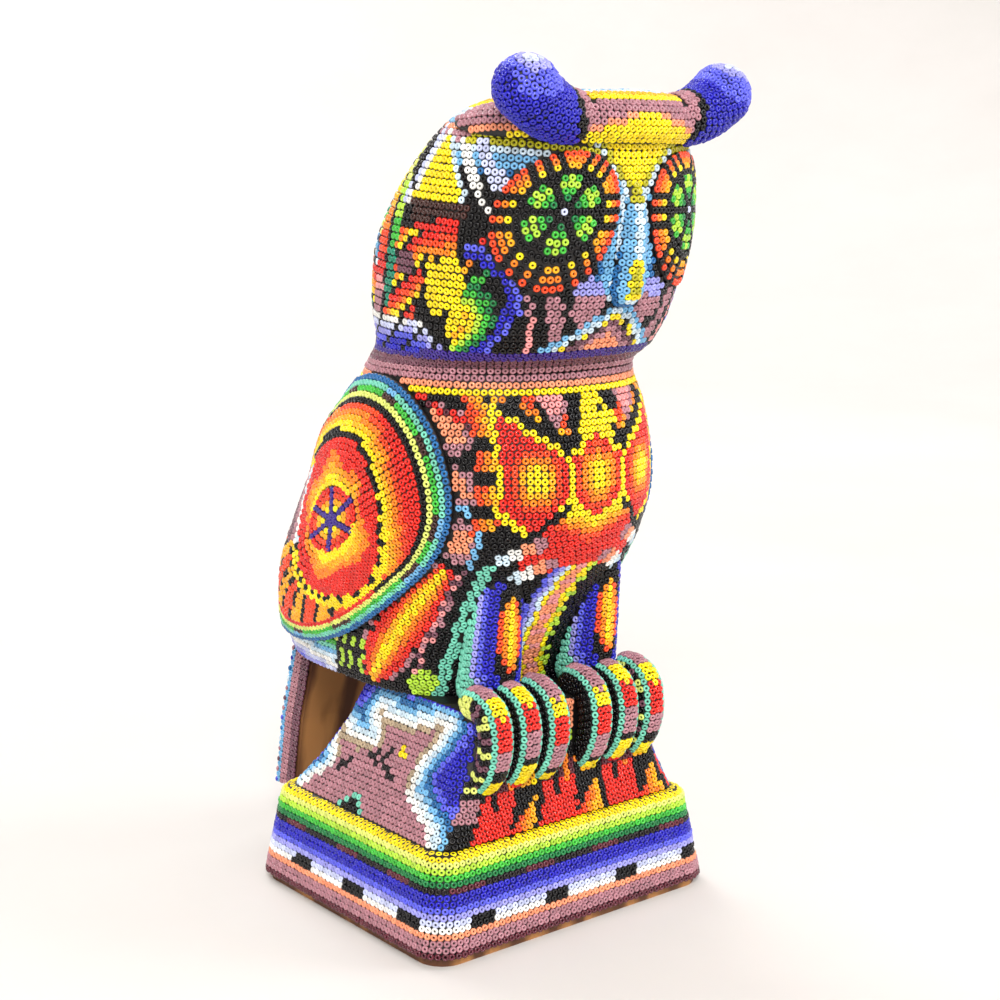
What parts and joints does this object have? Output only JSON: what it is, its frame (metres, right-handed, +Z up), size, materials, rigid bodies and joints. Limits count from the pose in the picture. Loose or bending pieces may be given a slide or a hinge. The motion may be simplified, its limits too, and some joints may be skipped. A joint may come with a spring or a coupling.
{
  "type": "huichol beaded figure",
  "caption": "Carved wooden owl standing on a tapered perch and a flared square plinth, waxed and covered all over with patterned glass seed beads.",
  "frame": {"origin": "middle of the plinth's underside, at the floor", "axes": "+Z up, the plinth's front and the owl's breast face -Y, the owl's left is +X"},
  "size_m": [0.105, 0.1401, 0.2378],
  "materials": {
    "wood": "bare carved softwood, matt",
    "wax": "dark beeswax and resin, satin",
    "mauve_beads": "opaque glass seed beads, glossy",
    "blue_beads": "opaque glass seed beads, glossy",
    "yellow_beads": "opaque glass seed beads, glossy",
    "red_beads": "opaque glass seed beads, glossy",
    "green_beads": "opaque glass seed beads, glossy",
    "aqua_beads": "opaque glass seed beads, glossy",
    "orange_beads": "opaque glass seed beads, glossy",
    "black_beads": "opaque glass seed beads, glossy"
  },
  "bodies": {
    "root": {"wood_core": "wood", "plinth_rim": "wood", "tail_wood": "wood", "base_wax": "wax", "body_wax": "wax", "head_wax": "wax", "plinth_lower_bands": "mauve_beads", "plinth_upper_bands": "blue_beads", "plinth_edge_bands": "yellow_beads", "perch_left_panel": "blue_beads", "perch_back_panel": "blue_beads", "perch_right_panel": "blue_beads", "perch_front_panel": "red_beads", "chest_eagle_panel": "red_beads", "belly_panel": "orange_beads", "body_left_panel": "black_beads", "body_right_panel": "black_beads", "back_panel": "black_beads", "neck_bands": "yellow_beads", "face_panel": "black_beads", "head_left_panel": "orange_beads", "head_right_panel": "orange_beads", "nape_panel": "green_beads", "crown_panel": "yellow_beads", "crown_top": "yellow_beads", "eye_left": "red_beads", "eye_right": "red_beads", "brow": "mauve_beads", "ear_left": "blue_beads", "ear_right": "blue_beads", "beak_ridge": "aqua_beads", "wing_left_field": "red_beads", "wing_right_field": "red_beads", "wing_left_border": "green_beads", "wing_right_border": "green_beads", "leg_left": "blue_beads", "leg_right": "blue_beads", "toe_left_inner": "aqua_beads", "toe_left_middle": "aqua_beads", "toe_left_outer": "aqua_beads", "toe_right_inner": "aqua_beads", "toe_right_middle": "aqua_beads", "toe_right_outer": "aqua_beads", "tail_beads": "mauve_beads"}
  },
  "joints": []
}
